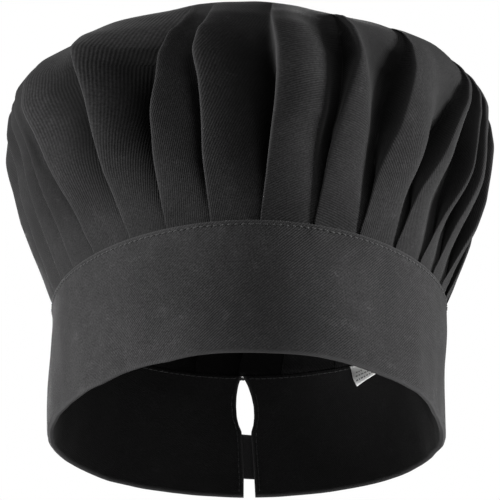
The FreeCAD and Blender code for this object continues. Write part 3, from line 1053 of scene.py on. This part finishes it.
def twill(name, base, wale_mm, direction, relief):
    """Cotton twill: diagonal wales that fade in places, uneven yarn, lint, pale edges where the wear and
    painted light value is above 0 (worn edges, and a painted highlight along the crown's folds), and painted
    shade, a deeper black, where it is below 0."""
    m = Nodes(name)
    m.shade(Roughness=0.92, Sheen_Weight=0.07, Sheen_Roughness=0.35, Specular_IOR_Level=0.12)
    turned = m.turned(direction)
    clear = m.ramp(m.cloth_noise(30.0, 3.0), ((0.35, grey(0.35)), (0.6, grey(1.0))))
    wale = m.math("MULTIPLY_ADD", m.math("SUBTRACT", m.bands(turned, wale_mm, 0.7), 0.5), clear)
    wale.node.inputs[2].default_value = 0.5
    yarn = m.noise(turned, 1500.0)
    weave = m.math("MULTIPLY_ADD", yarn, 0.5)
    m.link(wale, weave.node.inputs[2])
    cloud = m.cloth_noise(26.0, 5.0)
    slub = m.cloth_noise(190.0, 3.0)
    tone = m.ramp(weave, ((0.2, scaled(base, 0.58)), (0.75, scaled(base, 1.2)), (1.0, scaled(base, 1.5))))
    lint = m.cloth_noise(1100.0, 3.0)
    tone = m.mix(1.0, tone, m.ramp(lint, ((0.32, grey(0.6)), (0.66, grey(1.4)))), "MULTIPLY")
    patchy = m.ramp(cloud, ((0.3, grey(0.82)), (0.7, grey(1.16))))
    tone = m.mix(1.0, tone, patchy, "MULTIPLY")
    specks = m.ramp(slub, ((0.3, grey(0.88)), (0.62, grey(1.08)), (0.74, grey(1.5))))
    tone = m.mix(1.0, tone, specks, "MULTIPLY")
    wear_and_painted_light = m.wear_and_painted_light()
    # Above 0 the colour goes pale: worn edges on the band and tab, and a painted highlight along the crown's
    # fold edges.
    painted_light_and_wear = m.math("MULTIPLY", m.math("MAXIMUM", wear_and_painted_light, 0.0), 0.7)
    tone = m.mix(painted_light_and_wear, tone, scaled(base, 2.7))
    # Below 0 it goes black: painted shade in the crown's fold hollows and on the band's inner layer.
    deep = m.math("MULTIPLY", m.math("MINIMUM", wear_and_painted_light, 0.0), -0.78)
    tone = m.mix(deep, tone, grey(0.0))
    m.colour(tone)
    m.bump(weave, relief, 0.00022)
    return m.mat


def thread(name, base, shine=0.45):
    m = Nodes(name)
    m.shade(Roughness=0.55, Sheen_Weight=0.2, Specular_IOR_Level=shine)
    twist = m.bands(m.turned(math.radians(35.0)), 0.45)
    m.colour(m.ramp(twist, ((0.1, scaled(base, 0.5)), (0.9, scaled(base, 1.4)))))
    m.bump(twist, 0.5, 0.00006)
    return m.mat


def mottled(name, base, tones, scale, detail, relief, depth, **values):
    """One tone, darker and paler in spots, with a relief that follows them."""
    m = Nodes(name)
    m.shade(**values)
    spots = m.cloth_noise(scale, detail)
    dark, pale = tones
    m.colour(m.ramp(spots, ((0.3, scaled(base, dark)), (0.7, scaled(base, pale)))))
    m.bump(spots, relief, depth)
    return m.mat


def felt(name, base, roughness=0.95, scale=900.0, relief=0.6):
    """Matted fibres, as in a stiffener or a tape's ground."""
    return mottled(name, base, (0.6, 1.3), scale, 4.0, relief, 0.0001, Roughness=roughness, Sheen_Weight=0.4)


def nylon(name, base):
    shine = {"Roughness": 0.35, "Specular_IOR_Level": 0.5, "Coat_Weight": 0.15}
    return mottled(name, base, (0.75, 1.25), 120.0, 2.0, 0.2, 0.00005, **shine)


def satin(name, base):
    """White woven satin of the tag."""
    m = Nodes(name)
    m.shade(Roughness=0.5, Sheen_Weight=0.15, Specular_IOR_Level=0.4)
    warp = m.bands(m.turned(0.0), 0.3, 0.4)
    weft = m.bands(m.turned(0.5 * math.pi), 0.22, 0.4)
    weave = m.math("ADD", m.math("MULTIPLY", warp, 0.4), m.math("MULTIPLY", weft, 0.6))
    cloud = m.cloth_noise(160.0, 3.0)
    tone = m.ramp(weave, ((0.1, scaled(base, 0.82)), (0.8, base)))
    m.colour(m.mix(0.2, tone, m.ramp(cloud, ((0.3, scaled(base, 0.7)), (0.7, base)))))
    m.bump(weave, 0.35, 0.00008)
    return m.mat


# ----------------------------------------------------------------------- pieces
BLACK = (0.0125, 0.0123, 0.0126)
# Painted shade: the crown's twill is the band's same black made darker, 0.71 of it, for how dark the crown
# looks under these lights.
crown_cloth = twill("crown_twill", scaled(BLACK, 0.71), 0.95, math.radians(65.0), 0.55)
band_cloth = twill("band_twill", BLACK, 0.85, math.radians(52.0), 0.5)
tab_cloth = twill("tab_twill", BLACK, 0.85, math.radians(-40.0), 0.5)
black_thread = thread("black_thread", (0.0085, 0.0085, 0.0088), 0.12)
pile_cloth = felt("loop_pile", (0.011, 0.011, 0.0115))
hook_plastic = nylon("hook_nylon", (0.011, 0.011, 0.0115))
stiffener = felt("stiffener", (0.55, 0.55, 0.53), scale=500.0)
tag_satin = satin("label_satin", (0.93, 0.93, 0.92))
tag_thread = thread("label_thread", (0.5, 0.5, 0.5))
tag_ink = felt("label_ink", (0.13, 0.13, 0.14), 0.7, 2000.0, 0.1)


def finish(obj, material, body, slot, *nodes):
    obj.data.materials.append(material)
    if nodes:
        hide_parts(*nodes)
    if body:
        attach(obj, body)
    return obj


band = finish(make_band(), band_cloth, "hat", "band_twill", "band")
crown = finish(make_crown(), crown_cloth, "hat", "crown_twill", "crown")
interfacing = make_strip("band_stiffener", 6.5, -5.5, 1.6, 46.5, level_face(-1.75), 0.5, 300, 12)
finish(interfacing, stiffener, "hat", "stiffener", "band_interfacing")
seam_row = make_row(
    "crown_seam_row", [(round_the_band(SEAM_STITCH_HEIGHT), 1)], lambda a, s: np.full(np.shape(a), -2.05)
)
finish(seam_row, black_thread, "hat", "black_thread", "crown_seam_stitching")
top_row = make_row(
    "band_top_row", [(round_the_band(TOPSTITCH_HEIGHT), 1), (round_the_band(TOPSTITCH_HEIGHT), -1)], band_face
)
finish(top_row, black_thread, "hat", "black_thread", "band_topstitching")
for side, word in ((1, "loop_side"), (-1, "tab_side")):
    row = make_row(f"band_end_row_{word}", [(beside_slit(side), 1), (beside_slit(side), -1)], band_face)
    finish(row, black_thread, "hat", "black_thread", f"band_end_stitching_{word}")
finish(make_bartack(), black_thread, "hat", "black_thread", "slit_bartack")

# Loop tape, on the band.
loop_ground = make_strip(
    "loop_tape_ground", LOOP_TAPE[0], LOOP_TAPE[1], TAB_LOW, TAB_HIGH,
    level_face(TOUCH), LOOP_TAPE_BASE, 60, 14,
)
finish(loop_ground, pile_cloth, "hat", "loop_pile", "loop_tape")
pile = finish(make_pile(), pile_cloth, "hat", "loop_pile")
loop_row = make_row(
    "loop_tape_row",
    [(inset_box(*LOOP_TAPE, TAB_LOW, TAB_HIGH, LOOP_ROW_IN), 1)],
    lambda a, s: np.full(np.shape(a), TOUCH + LOOP_TAPE_BASE + PROUD),
)
finish(loop_row, black_thread, "hat", "black_thread", "loop_tape_stitching")

# Closure tab: one doubled strip, sewn down at one end and free at the other.
tab = make_strip("tab_strip", TAB_START, TAB_END, TAB_LOW, TAB_HIGH, tab_inner, TAB_THICK, 110, 16, True)
finish(tab, tab_cloth, None, "tab_twill", "closure_tab_sewn_end", "closure_tab")
bend_height = 0.5 * (TAB_LOW + TAB_HIGH)
bend_start = band_place(BEND_START, bend_height, TAB_START_FACE) * MM
bend_end = band_place(BEND_END, bend_height, TAB_START_FACE) * MM
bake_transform(tab)


def tab_face(along, side):
    return tab_inner(along) + np.where(np.full(np.shape(along), side) > 0, TAB_THICK + PROUD, -PROUD)


sewn_row = make_row(
    "tab_sewn_row",
    [(rectangle(TAB_START + 1.4, BEND_START - 0.8, TAB_LOW + TAB_ROW_IN, TAB_HIGH - TAB_ROW_IN), 1)],
    tab_face,
)
finish(sewn_row, black_thread, "hat", "black_thread", "closure_tab_sewn_end_stitching")
edge_row = make_row(
    "tab_edge_row",
    [(rectangle(TAB_CLIMB_END, TAB_END - TAB_ROW_IN, TAB_LOW + TAB_ROW_IN, TAB_HIGH - TAB_ROW_IN), 1)],
    tab_face,
)
finish(edge_row, black_thread, "tab_free_end", "black_thread", "closure_tab_edge_stitching")
hook_face = TOUCH + LOOP_TAPE_THICK + BODY_GAP
hook_ground = make_strip(
    "hook_tape_ground", HOOK_TAPE[0], HOOK_TAPE[1], TAB_LOW + TAPE_MARGIN, TAB_HIGH - TAPE_MARGIN,
    level_face(hook_face + HOOK_TAPE_THICK - HOOK_TAPE_BASE), HOOK_TAPE_BASE, 30, 14,
)
finish(hook_ground, hook_plastic, "tab_free_end", "hook_nylon", "hook_tape")
hooks = finish(make_hooks(), hook_plastic, "tab_free_end", "hook_nylon")
hook_row = make_row(
    "hook_tape_row",
    [(inset_box(*HOOK_TAPE, TAB_LOW + TAPE_MARGIN, TAB_HIGH - TAPE_MARGIN, HOOK_ROW_IN), -1)],
    lambda a, s: np.full(np.shape(a), hook_face + HOOK_TAPE_THICK - HOOK_TAPE_BASE - PROUD),
)
finish(hook_row, black_thread, "tab_free_end", "black_thread", "hook_tape_stitching")

label = finish(make_label(), tag_satin, "label", "label_satin", "care_label")
marks = finish(make_label_marks(), tag_ink, "label", "label_satin")
finish(make_label_row(), tag_thread, "label", "label_thread", "care_label_stitching")

# An envelope of the crown is made again here; nothing uses it.
env_length = Envelope()

# -------------------------------------------------------------- floor and lights
FLOOR = -1.05
FLOOR_GLOW = 0.3        # keeps the floor pale, since the lights aim at the hat
bpy.ops.mesh.primitive_plane_add(size=14.0, location=(0.0, 0.0, FLOOR))
floor = bpy.context.object
floor.name = "floor"
floor_mat = bpy.data.materials.new("floor")
floor_mat.use_nodes = True
floor_shader = floor_mat.node_tree.nodes["Principled BSDF"]
floor_shader.inputs["Base Color"].default_value = (*grey(0.7), 1.0)
floor_shader.inputs["Roughness"].default_value = 0.9
floor_shader.inputs["Emission Color"].default_value = (1.0, 1.0, 1.0, 1.0)
floor_shader.inputs["Emission Strength"].default_value = FLOOR_GLOW
floor.data.materials.append(floor_mat)

# The backdrop is white to the camera and dim as a light, so that the softboxes
# shape the cloth.
AMBIENT = 0.04
world = bpy.data.worlds.new("studio")
bpy.context.scene.world = world
world.use_nodes = True
sky = world.node_tree
sky_light = sky.nodes["Background"]
sky_light.inputs["Color"].default_value = (1.0, 1.0, 1.0, 1.0)
seen = sky.nodes.new("ShaderNodeLightPath")
level = sky.nodes.new("ShaderNodeMapRange")
level.inputs["To Min"].default_value = AMBIENT
level.inputs["To Max"].default_value = 1.0
sky.links.new(seen.outputs["Is Camera Ray"], level.inputs["Value"])
sky.links.new(level.outputs["Result"], sky_light.inputs["Strength"])
bpy.context.scene.view_settings.view_transform = "Standard"


def add_light(name, kind, place, aim, watts):
    light = bpy.data.lights.new(name, kind)
    light.energy = watts
    obj = bpy.data.objects.new(name, light)
    obj.location = place
    obj.rotation_euler = (Vector(aim) - Vector(place)).to_track_quat("-Z", "Y").to_euler()
    link_to_scene(obj)
    return light


def softbox(name, place, aim, size, watts):
    light = add_light(name, "AREA", place, aim, watts)
    light.shape = "RECTANGLE"
    light.size, light.size_y = size


softbox("softbox_left", (-1.31, -0.22, 0.09), (0.0, 0.0, 0.07), (0.5, 0.17), 46.0)
softbox("softbox_right", (1.32, -0.18, 0.09), (0.0, 0.0, 0.07), (0.5, 0.17), 43.0)
softbox("softbox_high", (0.6, -1.3, 0.95), (0.0, 0.0, 0.1), (0.7, 0.5), 11.0)
softbox("softbox_back", (-0.3, 1.5, 0.6), (0.0, 0.0, 0.08), (0.8, 0.5), 26.0)

# A narrow spot from low in front reaches through the opening to the label.
spot = add_light("label_spot", "SPOT", (0.16, -0.95, -0.62), (0.06, 0.066, 0.05), 38.0)
spot.spot_size = math.radians(3.2)
spot.spot_blend = 0.8
spot.shadow_soft_size = 0.02

# ----------------------------------------------------------------------- camera
ELEVATION = math.radians(-22.15)
AZIMUTH = math.radians(-1.9)
DISTANCE = 1.131
LENS = 180.0
AIM = Vector((0.0023, 0.0024, 0.086))
cam_data = bpy.data.cameras.new("camera")
cam_data.lens = LENS
cam_data.sensor_width = 36.0
cam_data.clip_end = 100.0
cam = bpy.data.objects.new("camera", cam_data)
side = Vector((math.sin(AZIMUTH), -math.cos(AZIMUTH), 0.0))
back = side * math.cos(ELEVATION) + Vector((0.0, 0.0, math.sin(ELEVATION)))
cam.location = AIM + back * DISTANCE
cam.rotation_euler = (-back).to_track_quat("-Z", "Y").to_euler()
link_to_scene(cam)
bpy.context.scene.camera = cam
